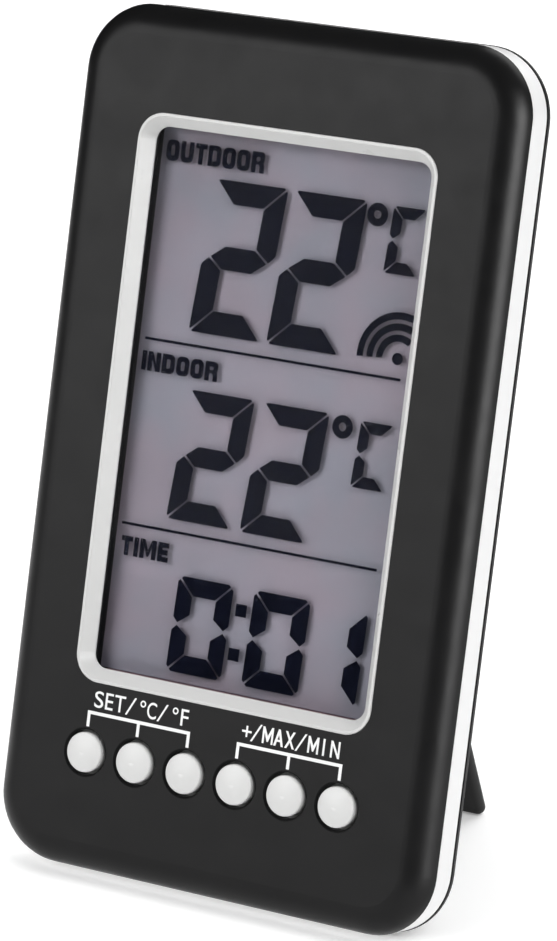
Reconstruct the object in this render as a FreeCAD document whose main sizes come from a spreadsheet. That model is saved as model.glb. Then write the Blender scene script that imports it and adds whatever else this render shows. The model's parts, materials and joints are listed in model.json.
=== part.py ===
import FreeCAD, Part
import math
import os
import re

from FreeCAD import Placement, Rotation, Vector
import Sketcher

# A maximum-minimum thermometer with a radio outdoor channel: a slim upright case with a large
# display, six round buttons under it, a battery bay and a folding stand on its back.
#
# Case frame, in which every sub-part is drawn: the case lies on its back, x to the right, y up
# the face, z out of the face towards the reader. The flat front is at z = 0, so a depth into
# the case is a negative z. The standing placement then leans the case back on its stand.

doc = FreeCAD.newDocument("MaxMinThermometer")

# ---------------------------------------------------------------- driving dimensions (mm, deg)
SIZES = {
    # how far a cut runs past a face, how far blocks run into each other, and small parts too
    "cut_past": 1.0,
    "weld": 0.5,
    "join": 0.1,
    # case outline and its layers, as depths behind the front plane
    "case_width": 72.2,
    "case_height": 125.0,
    "corner_radius": 10.0,
    "front_round": 4.4,
    "front_wall": 2.0,
    "shell_back": 3.47,
    "band_front": 3.6,
    "band_back": 7.8,
    "cover_front": 7.93,
    "cover_rim_back": 9.13,
    "rim_round": 0.8,
    "band_step": 0.1,
    "band_wall": 1.3,
    "band_round": 0.2,
    "tongue_wall": 1.2,
    "tongue_meet": 6.0,
    "part_gap": 0.05,
    # rear housing, which stands out behind the rim
    "housing_inset": 7.5,
    "housing_bottom": 58.2,
    "housing_back": 21.0,
    "housing_wall": 1.8,
    "housing_corner": 7.0,
    "housing_round": 2.0,
    # display opening, bezel and window
    "bezel_half": 24.35,
    "bezel_top": 47.32,
    "bezel_bottom": 34.78,
    "bezel_corner": 4.0,
    "bezel_ring": 1.9,
    "bezel_lip": 0.45,
    "bezel_proud": 0.15,
    "bezel_round": 0.14,
    "bezel_slope_back": 1.75,
    "bezel_lip_back": 2.05,
    "bezel_flange": 1.25,
    "bezel_flange_front": 1.6,
    "bezel_skirt_back": 2.95,
    "window_front": 2.1,
    "window_back": 2.9,
    "window_margin": 1.5,
    # liquid crystal display, front to back
    "glass_margin": 1.2,
    "glass_reach": 1.9,
    "rear_reach": 0.2,
    "glass_corner": 0.3,
    "film_margin": 0.5,
    "film_front": 3.05,
    "glass_front": 3.2,
    "glass_joint": 3.9,
    "glass_back": 4.6,
    "film_back": 4.75,
    "strip_width": 1.4,
    "strip_length": 44.0,
    "frame_front": 3.0,
    "frame_wall": 1.2,
    "glass_play": 0.1,
    "strip_inset": 1.05,
    "frame_shelf": 4.85,
    "shelf_width": 4.0,
    # circuit board
    "board_front": 6.3,
    "board_back": 7.3,
    "board_half": 26.5,
    "board_top": 53.0,
    "board_bottom": 51.0,
    "board_corner": 1.5,
    # buttons
    "button_count": 6,
    "button_pitch": 8.37,
    "button_row": 45.05,
    "button_shift": -0.1,
    "button_radius": 2.9,
    "button_crown": 0.9,
    "button_shoulder": 0.35,
    "button_edge_round": 0.3,
    "button_hole": 3.3,
    "button_hole_chamfer": 0.3,
    "button_flange": 3.85,
    "button_flange_front": 2.1,
    "button_flange_back": 2.9,
    "button_stem": 1.5,
    "button_stem_back": 4.2,
    "button_travel": 0.6,
    "mat_front": 5.5,
    "mat_half_length": 24.6,
    "mat_top": 41.1,
    "mat_bottom": 50.2,
    "dome_radius": 3.2,
    "dome_front": 4.2,
    "dome_slope": 35,
    "pill_radius": 1.2,
    "pill_thick": 0.6,
    "pill_clear": 0.25,
    # parts on the main board
    "blob_radius": 6.5,
    "blob_high": 1.4,
    "blob_round": 1.25,
    "crystal_radius": 1.0,
    "crystal_length": 6.0,
    "crystal_leg": 0.16,
    "crystal_leg_side": 0.4,
    "crystal_leg_length": 2.7,
    "bead_radius": 1.2,
    "bead_high": 5.2,
    "bead_leg": 0.2,
    "bead_leg_side": 0.6,
    "capacitor_radius": 2.5,
    "capacitor_high": 7.0,
    "capacitor_round": 0.4,
    "resistor_length": 1.6,
    "resistor_width": 0.8,
    "resistor_high": 0.45,
    # receiver board behind the main one
    "radio_front": 9.3,
    "radio_back": 10.1,
    "radio_half": 10.0,
    "radio_half_high": 9.0,
    "radio_pin": 0.6,
    "radio_pin_pitch": 2.54,
    "radio_pin_edge": 1.7,
    "radio_pin_tip": 0.6,
    "chip_length": 8.6,
    "chip_width": 3.9,
    "chip_high": 1.4,
    "chip_standoff": 0.1,
    "chip_leg_pitch": 1.27,
    "chip_leg_wide": 0.4,
    "chip_leg_reach": 1.05,
    "chip_leg_thick": 0.25,
    "oval_half": 5.1,
    "oval_half_high": 1.8,
    "oval_deep": 3.4,
    "oval_corner": 1.75,
    "aerial_pitch": 1.5,
    "aerial_length": 15.0,
    "aerial_radius": 2.2,
    "aerial_wire": 0.35,
    "aerial_foot": 3.3,
    "aerial_clear": 0.25,
    # screws
    "case_screw_side": 29.5,
    "case_screw_level": 55.5,
    "case_boss": 3.3,
    "case_screw_head": 2.1,
    "case_screw_shank": 1.0,
    "case_screw_seat": 7.7,
    "case_screw_tip": 2.9,
    "board_screw_side": 23.0,
    "board_screw_level": 50.8,
    "board_screw_low_side": 24.6,
    "board_screw_low_level": 38.9,
    "board_boss": 2.0,
    "board_screw_head": 1.8,
    "board_screw_shank": 0.8,
    "board_screw_tip": 2.9,
    "screw_play": 0.05,
    "screw_end_play": 0.3,
    "shank_clear": 0.3,
    "head_clear": 0.25,
    "board_hole_play": 0.2,
    "cross_long": 2.2,
    "cross_wide": 0.4,
    "cross_deep": 0.5,
    "head_high": 1.2,
    # battery bay, cells and contacts
    "bay_half": 25.2,
    "bay_level": 21.0,
    "bay_half_wide": 12.0,
    "bay_wall": 2.0,
    "bay_floor": 8.5,
    "bay_floor_front": 7.6,
    "cell_radius": 5.25,
    "cell_length": 44.5,
    "cell_nub_radius": 1.9,
    "cell_nub": 1.0,
    "cell_crimp": 0.8,
    "cell_crimp_step": 0.3,
    "cell_round": 0.4,
    "cell_spacing": 11.3,
    "cell_depth": 13.95,
    "contact_thick": 0.4,
    "contact_dimple": 0.3,
    "contact_dimple_radius": 2.4,
    "contact_reach": 4.6,
    "contact_back": 18.6,
    "contact_deep": 9.8,
    "spring_wire": 0.3,
    "spring_radius": 3.2,
    "spring_turns": 4,
    "spring_cone": 14,
    "spring_sink": 0.05,
    # battery door
    "door_half": 26.0,
    "door_half_wide": 13.2,
    "door_thick": 1.4,
    "door_play": 0.15,
    "door_corner": 1.5,
    "hook_side": 15.0,
    "hook_half": 3.0,
    "latch_half": 4.0,
    "latch_reach": 0.3,
    "latch_slit": 0.6,
    "latch_length": 7.0,
    "latch_nose_inset": 0.3,
    "latch_nose_front": 0.1,
    "latch_nose_back": 0.7,
    "latch_end_play": 0.25,
    "latch_seat_deep": 0.9,
    "hook_deep": 2.7,
    "hook_thick": 1.0,
    "hook_tip": 1.2,
    "hook_root": 1.7,
    "catch_clear": 0.3,
    "hook_seat_reach": 1.6,
    "hook_seat_deep": 3.4,
    "groove_start": 2.6,
    "groove_pitch": 1.2,
    "groove_inset": 0.8,
    "groove_deep": 0.4,
    # folding stand
    "stand_half": 18.2,
    "stand_open": 36.2,
    "heel_play": 0.02,
    "stand_hinge_level": 8.0,
    "stand_hinge_depth": 19.7,
    "stand_outer": 1.3,
    "stand_inner": 0.7,
    "stand_corner": 1.2,
    "stand_pin": 0.9,
    "stand_pin_play": 0.05,
    "stand_pin_reach": 1.2,
    "stub_end_play": 0.15,
    "stand_side_play": 0.25,
    "stand_recess_floor": 18.25,
    "stand_floor_wall": 1.45,
    "stand_end_play": 2.1,
    "stand_rib_border": 3.6,
    "stand_panel": 0.8,
    "stand_cheek": 1.75,
    "stand_header": 1.5,
    "stand_square": 3.5,
    "panel_inset": 2.0,
    "panel_corner": 2.0,
    "rib_pitch": 6.5,
    "rib_half": 0.5,
    # wall hook hole
    "hook_level": 45.2,
    "hook_radius": 3.5,
    "hook_slot": 1.8,
    "hook_rise": 5.0,
    "hook_pocket_half": 5.0,
    "hook_pocket_front": 15.2,
    "hook_pocket_wall": 1.2,
    "hook_pocket_sill": 1.0,
    # air slots beside the indoor sensor
    "vent_bottom": 40.0,
    "vent_pitch": 3.0,
    "vent_wide": 1.2,
    "vent_front": 10.5,
    "vent_back": 16.5,
    # how far the case leans back on its open stand
    "lean": 14.6,
}

sheet = doc.addObject("Spreadsheet::Sheet", "Sizes")
for line, (alias, size) in enumerate(SIZES.items(), start=1):
    sheet.set(f"A{line}", alias)
    sheet.set(f"B{line}", str(size))
    sheet.setAlias(f"B{line}", alias)
doc.recompute()


def bound(text):
    """The expression text with every alias read from the sheet."""
    return re.sub(r"[a-z_]+", lambda word: f"Sizes.{word[0]}" if word[0] in SIZES else word[0], text)


def size(text):
    """The present value of an expression over the sheet's aliases."""
    return float(sheet.evalExpression(bound(str(text))))


def drive(feature, **properties):
    """Bind each property of a feature to an expression over the sheet."""
    for name, text in properties.items():
        feature.setExpression(name, bound(str(text)))


# ---------------------------------------------------------------- sketches
def origin_plane(body, role):
    """One of a body's own origin planes, by its role."""
    return next(feature for feature in body.Origin.OriginFeatures if feature.Role == role)


def new_sketch(body, role="XY_Plane", depth="0"):
    """An empty sketch on an origin plane of the body, set back by a depth."""
    sketch = body.newObject("Sketcher::SketchObject", body.Name + "Sketch")
    sketch.AttachmentSupport = [(origin_plane(body, role), "")]
    sketch.MapMode = "FlatFace"
    sketch.setExpression("AttachmentOffset.Base.z", bound(f"-({depth})"))
    return sketch


def pin_point(sketch, geometry, position, across, up):
    """Hold one point of a sketch at driven coordinates."""
    for kind, text in (("DistanceX", across), ("DistanceY", up)):
        index = sketch.addConstraint(Sketcher.Constraint(kind, geometry, position, size(text)))
        sketch.setExpression(f"Constraints[{index}]", bound(text))


def draw_circle(sketch, across, up, radius):
    """A circle with a driven centre and radius."""
    middle = Vector(size(across), size(up), 0)
    circle = sketch.addGeometry(Part.Circle(middle, Vector(0, 0, 1), size(radius)))
    pin_point(sketch, circle, 3, across, up)
    index = sketch.addConstraint(Sketcher.Constraint("Radius", circle, size(radius)))
    sketch.setExpression(f"Constraints[{index}]", bound(radius))


def draw_polygon(sketch, corners):
    """A closed run of straight lines through driven corners."""
    points = [Vector(size(across), size(up), 0) for across, up in corners]
    lines = [
        sketch.addGeometry(Part.LineSegment(start, points[(n + 1) % len(points)]))
        for n, start in enumerate(points)
    ]
    for n, line in enumerate(lines):
        following = lines[(n + 1) % len(lines)]
        sketch.addConstraint(Sketcher.Constraint("Coincident", line, 2, following, 1))
        pin_point(sketch, line, 1, *corners[n])


def draw_box(sketch, left, right, low, high):
    """A rectangle between driven sides."""
    draw_polygon(sketch, [(left, low), (right, low), (right, high), (left, high)])


def draw_round_box(sketch, half, low, high, radius):
    """A rectangle about the y axis with rounded corners, low and high being its y limits."""
    across, bottom, top, bend = size(half), size(low), size(high), size(radius)
    centres = [
        (f"{half} - ({radius})", f"{high} - ({radius})", 0),
        (f"-({half}) + {radius}", f"{high} - ({radius})", 90),
        (f"-({half}) + {radius}", f"{low} + {radius}", 180),
        (f"{half} - ({radius})", f"{low} + {radius}", 270),
    ]
    arcs = []
    for middle_x, middle_y, start in centres:
        circle = Part.Circle(Vector(size(middle_x), size(middle_y), 0), Vector(0, 0, 1), bend)
        angles = math.radians(start), math.radians(start + 90)
        arcs.append(sketch.addGeometry(Part.ArcOfCircle(circle, *angles)))
    sides = [
        ((across - bend, top), (-across + bend, top)),
        ((-across, top - bend), (-across, bottom + bend)),
        ((-across + bend, bottom), (across - bend, bottom)),
        ((across, bottom + bend), (across, top - bend)),
    ]
    for n, (start, end) in enumerate(sides):
        side = sketch.addGeometry(Part.LineSegment(Vector(*start, 0), Vector(*end, 0)))
        sketch.addConstraint(Sketcher.Constraint("Tangent", arcs[n], 2, side, 1))
        sketch.addConstraint(Sketcher.Constraint("Tangent", side, 2, arcs[(n + 1) % 4], 1))
    for arc, (middle_x, middle_y, _) in zip(arcs, centres):
        pin_point(sketch, arc, 3, middle_x, middle_y)
    first = sketch.addConstraint(Sketcher.Constraint("Radius", arcs[0], bend))
    sketch.setExpression(f"Constraints[{first}]", bound(radius))
    for arc in arcs[1:]:
        sketch.addConstraint(Sketcher.Constraint("Equal", arcs[0], arc))


def draw_case_outline(sketch, inset="0"):
    """The outline of the case, drawn in by an inset."""
    draw_round_box(
        sketch,
        f"case_width / 2 - ({inset})",
        f"-case_height / 2 + ({inset})",
        f"case_height / 2 - ({inset})",
        f"corner_radius - ({inset})",
    )


def draw_display_outline(sketch, inset="0"):
    """The outline of the bezel, drawn in by an inset."""
    draw_round_box(
        sketch,
        f"bezel_half - ({inset})",
        f"-bezel_bottom + ({inset})",
        f"bezel_top - ({inset})",
        f"bezel_corner - ({inset})",
    )


# ---------------------------------------------------------------- features
def new_body(name):
    """An empty body whose label names its node."""
    return doc.addObject("PartDesign::Body", name)


def pad(body, draw, front, back):
    """Material between two depths, with the outlines that draw puts in the sketch."""
    sketch = new_sketch(body, depth=back)
    draw(sketch)
    feature = body.newObject("PartDesign::Pad", body.Name + "Pad")
    feature.Profile = sketch
    drive(feature, Length=f"({back}) - ({front})")
    return feature


def pocket(body, draw, front, back, rear=False):
    """A cut between two depths; a rear one starts at the back depth, for what opens to the rear."""
    before = solid_volume(body)
    sketch = new_sketch(body, depth=back if rear else front)
    draw(sketch)
    feature = body.newObject("PartDesign::Pocket", body.Name + "Pocket")
    feature.Profile = sketch
    feature.Reversed = rear
    drive(feature, Length=f"({back}) - ({front})")
    check_cut(body, feature, before)
    return feature


def pocket_across(body, draw, length, both_ways):
    """A cut along x from the middle plane, with outlines drawn in the y-z plane."""
    before = solid_volume(body)
    sketch = new_sketch(body, "YZ_Plane")
    draw(sketch)
    feature = body.newObject("PartDesign::Pocket", body.Name + "CrossPocket")
    feature.Profile = sketch
    feature.Midplane = both_ways
    drive(feature, Length=length)
    check_cut(body, feature, before)


def check_cut(body, feature, before):
    """Stop if a cut removed nothing."""
    if solid_volume(body) >= before:
        raise RuntimeError(f"{feature.Label} in {body.Label} removed nothing")


def revolve(body, draw, role, axis):
    """A full turn of a sketch about one of its own axes."""
    sketch = new_sketch(body, role)
    draw(sketch)
    feature = body.newObject("PartDesign::Revolution", body.Name + "Revolution")
    feature.Profile = sketch
    feature.ReferenceAxis = (sketch, [axis])
    feature.Angle = 360
    return feature


def solid_volume(body):
    """The volume of a body as it stands now."""
    doc.recompute()
    return body.Shape.Volume


def dress(body, kind, wanted, **properties):
    """A Fillet or Chamfer on the edges of the body's tip that the test picks."""
    doc.recompute()
    base = body.Tip
    edges = [f"Edge{n}" for n, edge in enumerate(base.Shape.Edges, start=1) if wanted(edge)]
    if not edges:
        raise RuntimeError(f"no edge to dress on {body.Label}")
    feature = body.newObject(f"PartDesign::{kind}", body.Name + kind)
    feature.Base = (base, edges)
    drive(feature, **properties)
    return feature


def in_plane(edge, depth, near=0.01):
    """Whether an edge lies wholly at a depth."""
    box = edge.BoundBox
    return abs(box.ZMin + size(depth)) < near and abs(box.ZMax + size(depth)) < near


def beyond(edge, across, up):
    """Whether an edge lies wholly outside a rectangle about the origin, |x| or |y|."""
    middle = edge.BoundBox.Center
    box = edge.BoundBox
    wide = max(abs(box.XMin), abs(box.XMax)) > across
    tall = max(abs(box.YMin), abs(box.YMax)) > up
    return wide or tall or abs(middle.x) > across or abs(middle.y) > up


# ---------------------------------------------------------------- places
def rim_height():
    """How high the middle of the front face stands above the table in the leaning case."""
    # the case rests on the rounded back edge of its rim
    lean = math.radians(size("lean"))
    sole_up = size("case_height / 2 - rim_round") * math.cos(lean)
    sole_deep = size("cover_rim_back - rim_round") * math.sin(lean)
    return sole_up + sole_deep + size("rim_round")


def stand_toe():
    """The radius of the stand's rounded foot."""
    return size("(stand_outer + stand_inner) / 2")


def stand_offset():
    """How far the middle of the stand's thickness lies behind its hinge axis."""
    return size("(stand_outer - stand_inner) / 2")


def stand_length():
    """From hinge axis to foot, so that the open stand just meets the table."""
    lean = math.radians(size("lean"))
    swing = math.radians(size("stand_open - lean"))
    hinge = rim_height() - size("stand_hinge_level") * math.cos(lean)
    hinge -= size("stand_hinge_depth") * math.sin(lean)
    toe = stand_toe()
    return toe + (hinge + stand_offset() * math.sin(swing) - toe) / math.cos(swing)


def standing_placement():
    """The case frame's placement when the case leans on its open stand, on z = 0."""
    lean = math.radians(size("lean"))
    swing = math.radians(size("stand_open - lean"))
    # the footprint reaches from the round of the case's front edge to the foot of the stand
    bend = size("front_round")
    front = -size("case_height / 2 - front_round") * math.sin(lean) + bend * math.cos(lean) - bend
    hinge = -size("stand_hinge_level") * math.sin(lean)
    hinge += size("stand_hinge_depth") * math.cos(lean)
    foot = hinge + (stand_length() - stand_toe()) * math.sin(swing)
    foot += stand_offset() * math.cos(swing) + stand_toe()
    turn = Rotation(Vector(1, 0, 0), 90 - size("lean"))
    return Placement(Vector(0, -(front + foot) / 2, rim_height()), turn)


STANDING = standing_placement()
pieces = []


def place(feature, x="0", y="0", depth="0", turn=Rotation()):
    """Put a finished sub-part where it belongs in the leaning case."""
    feature.Placement = STANDING * Placement(Vector(size(x), size(y), -size(depth)), turn)
    pieces.append(feature)
    return feature


def place_on_board(feature, depth, turn=Rotation()):
    """Put a component at its own place on the circuit board."""
    return place(feature, *BOARD_PLACES[feature.Label], depth, turn)


BOARD_PLACES = {
    "controller_blob": ("12", "-24"),
    "clock_crystal": ("8", "-12"),
    "radio_chip": ("-14", "-22"),
    "radio_crystal": ("-14", "-29.5"),
    "antenna_coil": ("0.2", "-35.5"),
    "thermistor": ("-24.3", "-46"),
    "reservoir_capacitor": ("22.5", "-12"),
}
RADIO_MIDDLE = ("-13", "-26")
PIN_COUNT = 4
CHIP_LEG_PAIRS = 7
VENT_COUNT = 5
GROOVE_COUNT = 4
CASE_SCREWS = [(side, level) for side in (-1, 1) for level in (-1, 1)]
BUTTONS = ["set", "celsius", "fahrenheit", "plus", "max", "min"]


def button_across(n):
    """The x of the button numbered n from the left, as an expression."""
    return f"(({n}) - (button_count - 1) / 2) * button_pitch + button_shift"


# ---------------------------------------------------------------- case
def front_shell():
    """The black front: a rounded plate with a display opening, button holes and screw bosses."""
    body = new_body("front_shell")
    pad(body, draw_case_outline, "0", "tongue_meet")
    doc.recompute()
    dress(body, "Fillet", lambda edge: in_plane(edge, "0"), Radius="front_round")

    def around_tongue(sketch):
        draw_case_outline(sketch, "-cut_past")
        draw_case_outline(sketch, "band_step + band_wall + part_gap")

    pocket(body, around_tongue, "shell_back", "tongue_meet + cut_past")
    pocket(
        body,
        lambda sketch: draw_case_outline(sketch, "band_step + band_wall + part_gap + tongue_wall"),
        "front_wall",
        "tongue_meet + cut_past",
    )
    pad(body, lambda sketch: draw_bosses(sketch, "case_boss", "board_boss"), "front_wall", "tongue_meet")
    through = ("-cut_past", "front_wall + cut_past")
    pocket(body, lambda sketch: draw_display_outline(sketch, "-part_gap"), *through)
    rabbet = "-bezel_flange - part_gap * 3"
    pocket(
        body,
        lambda sketch: draw_display_outline(sketch, rabbet),
        "bezel_flange_front - part_gap",
        "front_wall + cut_past",
    )

    def button_holes(sketch):
        for n in range(len(BUTTONS)):
            draw_circle(sketch, button_across(n), "-button_row", "button_hole")

    pocket(body, button_holes, *through)
    bores = ("case_screw_shank + screw_play", "board_screw_shank + screw_play")
    pocket(
        body,
        lambda sketch: draw_bosses(sketch, *bores),
        "case_screw_tip - screw_end_play",
        "tongue_meet + cut_past",
        rear=True,
    )
    row_top = -size("button_row - button_hole - weld")
    dress(
        body,
        "Chamfer",
        lambda edge: in_plane(edge, "0") and edge.BoundBox.YMax < row_top,
        Size="button_hole_chamfer",
    )
    return place(body)


def draw_bosses(sketch, case_radius, board_radius):
    """Circles at the case screws and at the board screws."""
    for side, level in CASE_SCREWS:
        draw_circle(sketch, f"{side} * case_screw_side", f"{level} * case_screw_level", case_radius)
    draw_board_screws(sketch, board_radius)


def draw_board_screws(sketch, radius):
    """Circles at the four screws that hold the circuit board."""
    for side in (-1, 1):
        draw_circle(sketch, f"{side} * board_screw_side", "board_screw_level", radius)
        draw_circle(sketch, f"{side} * board_screw_low_side", "-board_screw_low_level", radius)


def side_band():
    """The white band between the two black shells."""
    body = new_body("side_band")

    def ring(sketch):
        draw_case_outline(sketch, "band_step")
        draw_case_outline(sketch, "band_step + band_wall")

    pad(body, ring, "band_front", "band_back")
    across = size("(case_width - band_wall) / 2")
    up = size("(case_height - band_wall) / 2")
    dress(body, "Fillet", lambda edge: flat(edge) and beyond(edge, across, up), Radius="band_round")
    return place(body)


def flat(edge):
    """Whether an edge keeps one depth all along."""
    return edge.BoundBox.ZLength < 0.001


def rear_cover():
    """The black back: a rim, a raised housing, the battery bay and the recess of the stand."""
    body = new_body("rear_cover")
    pad(body, draw_case_outline, "cover_front", "cover_rim_back")
    dress(body, "Fillet", lambda edge: in_plane(edge, "cover_rim_back"), Radius="rim_round")

    def tongue(sketch):
        draw_case_outline(sketch, "band_step + band_wall + part_gap")
        draw_case_outline(sketch, "band_step + band_wall + part_gap + tongue_wall")

    pad(body, tongue, "tongue_meet + part_gap", "cover_front + join")

    def screw_bosses(sketch):
        for side, level in CASE_SCREWS:
            draw_circle(
                sketch,
                f"{side} * case_screw_side",
                f"{level} * case_screw_level",
                "case_boss",
            )

    pad(body, screw_bosses, "tongue_meet + part_gap", "cover_front + join")
    pad(body, draw_housing, "cover_rim_back - weld", "housing_back")
    dress(body, "Fillet", lambda edge: in_plane(edge, "housing_back"), Radius="housing_round")
    pocket(
        body,
        lambda sketch: draw_housing(sketch, "housing_wall"),
        "tongue_meet - cut_past",
        "housing_back - housing_wall",
    )
    bay_and_stand_walls(body)
    bay_cuts(body)
    stand_cuts(body)
    hook_cuts(body)
    screw_cuts(body)
    vent_cuts(body)
    return place(body)


def draw_housing(sketch, inset="0"):
    """The outline of the raised housing, drawn in by an inset."""
    draw_round_box(
        sketch,
        f"case_width / 2 - housing_inset - ({inset})",
        f"-housing_bottom + ({inset})",
        f"case_height / 2 - housing_inset - ({inset})",
        f"housing_corner - ({inset})",
    )


def bay_and_stand_walls(body):
    """Solid blocks inside the housing, which the bay, the recess and the hook pocket are cut in."""
    inside = "case_width / 2 - housing_inset - housing_wall + weld"
    pad(
        body,
        lambda sketch: draw_box(
            sketch,
            f"-({inside})",
            inside,
            "bay_level - bay_half_wide - bay_wall",
            "bay_level + bay_half_wide + bay_wall",
        ),
        "bay_floor_front",
        "housing_back - housing_wall + weld",
    )
    cheek = "stand_half + stand_side_play + stand_cheek"
    pad(
        body,
        lambda sketch: draw_box(
            sketch,
            f"-({cheek})",
            cheek,
            "-housing_bottom + weld",
            "-stand_hinge_level + stand_end_play + stand_header",
        ),
        "stand_recess_floor - stand_floor_wall",
        "housing_back - housing_wall + weld",
    )
    pocket_side = "hook_pocket_half + hook_pocket_wall"
    pad(
        body,
        lambda sketch: draw_box(
            sketch,
            f"-({pocket_side})",
            pocket_side,
            "bay_level + bay_half_wide + bay_wall - weld",
            "case_height / 2 - housing_inset - weld",
        ),
        "hook_pocket_front - hook_pocket_wall",
        "housing_back - housing_wall + weld",
    )


def bay_cuts(body):
    """The battery bay, the step that the door sits in, and the seats of its hooks and latch."""
    step = "housing_back - door_thick - part_gap"
    pocket(
        body,
        lambda sketch: draw_box(
            sketch,
            "-bay_half",
            "bay_half",
            "bay_level - bay_half_wide",
            "bay_level + bay_half_wide",
        ),
        "bay_floor",
        "housing_back + cut_past",
        rear=True,
    )
    pocket(
        body,
        lambda sketch: draw_round_box(
            sketch,
            "door_half + door_play",
            "bay_level - door_half_wide - door_play",
            "bay_level + door_half_wide + door_play",
            "door_corner + door_play",
        ),
        step,
        "housing_back + cut_past",
        rear=True,
    )

    def hook_seats(sketch):
        for side in (-1, 1):
            draw_box(
                sketch,
                f"{side} * hook_side - hook_half - catch_clear",
                f"{side} * hook_side + hook_half + catch_clear",
                "bay_level - door_half_wide - hook_seat_reach",
                "bay_level - bay_half_wide + weld",
            )

    pocket(body, hook_seats, "housing_back - hook_seat_deep", step, rear=True)

    def latch_seat(sketch):
        draw_box(
            sketch,
            "-latch_half - catch_clear",
            "latch_half + catch_clear",
            "bay_level + door_half_wide",
            "bay_level + door_half_wide + door_play + latch_reach + latch_end_play",
        )

    pocket(
        body,
        latch_seat,
        step,
        "housing_back - door_thick + latch_seat_deep",
        rear=True,
    )


def stand_cuts(body):
    """The recess that the folded stand lies in, and the two sockets of its hinge stubs."""
    wide = "stand_half + stand_side_play"
    pocket(
        body,
        lambda sketch: draw_box(
            sketch,
            f"-({wide})",
            wide,
            "-housing_bottom - cut_past",
            "-stand_hinge_level + stand_end_play",
        ),
        "stand_recess_floor",
        "housing_back + cut_past",
        rear=True,
    )
    pocket_across(
        body,
        lambda sketch: draw_circle(
            sketch, "-stand_hinge_level", "-stand_hinge_depth", "stand_pin + stand_pin_play"
        ),
        f"({wide} + stand_pin_reach) * 2",
        both_ways=True,
    )


def hook_cuts(body):
    """A closed pocket behind the back wall, and the keyhole into it."""
    top = "bay_level + bay_half_wide + bay_wall + hook_pocket_sill"
    pocket(
        body,
        lambda sketch: draw_box(
            sketch,
            "-hook_pocket_half",
            "hook_pocket_half",
            top,
            "case_height / 2 - housing_inset - housing_wall",
        ),
        "hook_pocket_front",
        "housing_back - housing_wall",
        rear=True,
    )
    pocket(
        body,
        lambda sketch: draw_circle(sketch, "0", "hook_level - hook_rise", "hook_radius"),
        "housing_back - housing_wall - weld",
        "housing_back + cut_past",
        rear=True,
    )
    pocket(
        body,
        lambda sketch: draw_box(
            sketch,
            "-hook_slot",
            "hook_slot",
            "hook_level - hook_rise",
            "hook_level",
        ),
        "housing_back - housing_wall - weld",
        "housing_back + cut_past",
        rear=True,
    )
    pocket(
        body,
        lambda sketch: draw_circle(sketch, "0", "hook_level", "hook_slot"),
        "housing_back - housing_wall - weld",
        "housing_back + cut_past",
        rear=True,
    )


def screw_cuts(body):
    """Clearance holes and head seats of the four case screws."""

    def circles(radius):
        def draw(sketch):
            for side, level in CASE_SCREWS:
                draw_circle(
                    sketch,
                    f"{side} * case_screw_side",
                    f"{level} * case_screw_level",
                    radius,
                )

        return draw

    behind = "cover_rim_back + cut_past"
    shank_hole = circles("case_screw_shank + shank_clear")
    pocket(body, shank_hole, "tongue_meet - cut_past", behind, rear=True)
    pocket(body, circles("case_screw_head + head_clear"), "case_screw_seat", behind, rear=True)


def vent_cuts(body):
    """Air slots in one side of the housing, beside the indoor sensor."""

    def slots(sketch):
        for n in range(VENT_COUNT):
            low = f"-vent_bottom + {n} * vent_pitch"
            draw_box(sketch, low, f"{low} + vent_wide", "-vent_back", "-vent_front")

    pocket_across(body, slots, "case_width / 2", both_ways=False)


# ---------------------------------------------------------------- display
def display_bezel():
    """The white ring around the display, its inner face sloping in to the window."""
    body = new_body("display_bezel")

    def ring(outer, inner):
        def draw(sketch):
            draw_display_outline(sketch, outer)
            draw_display_outline(sketch, inner)

        return draw

    pad(body, ring("0", "bezel_ring"), "-bezel_proud", "bezel_lip_back")
    pad(body, ring("-bezel_flange", "bezel_ring"), "bezel_flange_front", "bezel_lip_back")
    pad(
        body,
        ring("-bezel_flange", "bezel_ring - window_margin - part_gap"),
        "bezel_lip_back",
        "bezel_skirt_back",
    )
    slope = pocket(
        body,
        lambda sketch: draw_display_outline(sketch, "bezel_lip"),
        "-bezel_proud",
        "bezel_slope_back",
    )
    drive(slope, TaperAngle="-atan((bezel_ring - bezel_lip) / (bezel_slope_back + bezel_proud))")
    dress(body, "Fillet", lambda edge: in_plane(edge, "-bezel_proud"), Radius="bezel_round")
    return place(body)


def display_window():
    """The clear plastic window in the bezel's skirt."""
    body = new_body("display_window")
    inset = "bezel_ring - window_margin"
    pad(body, lambda sketch: draw_display_outline(sketch, inset), "window_front", "window_back")
    return place(body)


def display_layer(name, front, back, side, reach):
    """A flat sheet of the display, larger than the bezel's opening at its sides and its ends."""
    body = new_body(name)
    outline = sheet_outline(side, reach)
    pad(body, lambda sketch: draw_round_box(sketch, *outline, "glass_corner"), front, back)
    return place(body)


def sheet_outline(side, reach):
    """Half width and y limits of a sheet that reaches beyond the bezel's opening."""
    half = f"bezel_half - bezel_ring + {side}"
    low = f"-bezel_bottom + bezel_ring - ({reach})"
    high = f"bezel_top - bezel_ring + {reach}"
    return half, low, high


def glass_tray(grow="0"):
    """The outline of the glass's seat, grown on every side."""
    return sheet_outline(f"glass_margin + glass_play + {grow}", f"glass_reach + glass_play + {grow}")


def strip_levels():
    """The y of the middle of the two contact strips, which lie behind the front glass's ledges."""
    return sheet_outline("0", "strip_inset")[1:]


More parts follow.
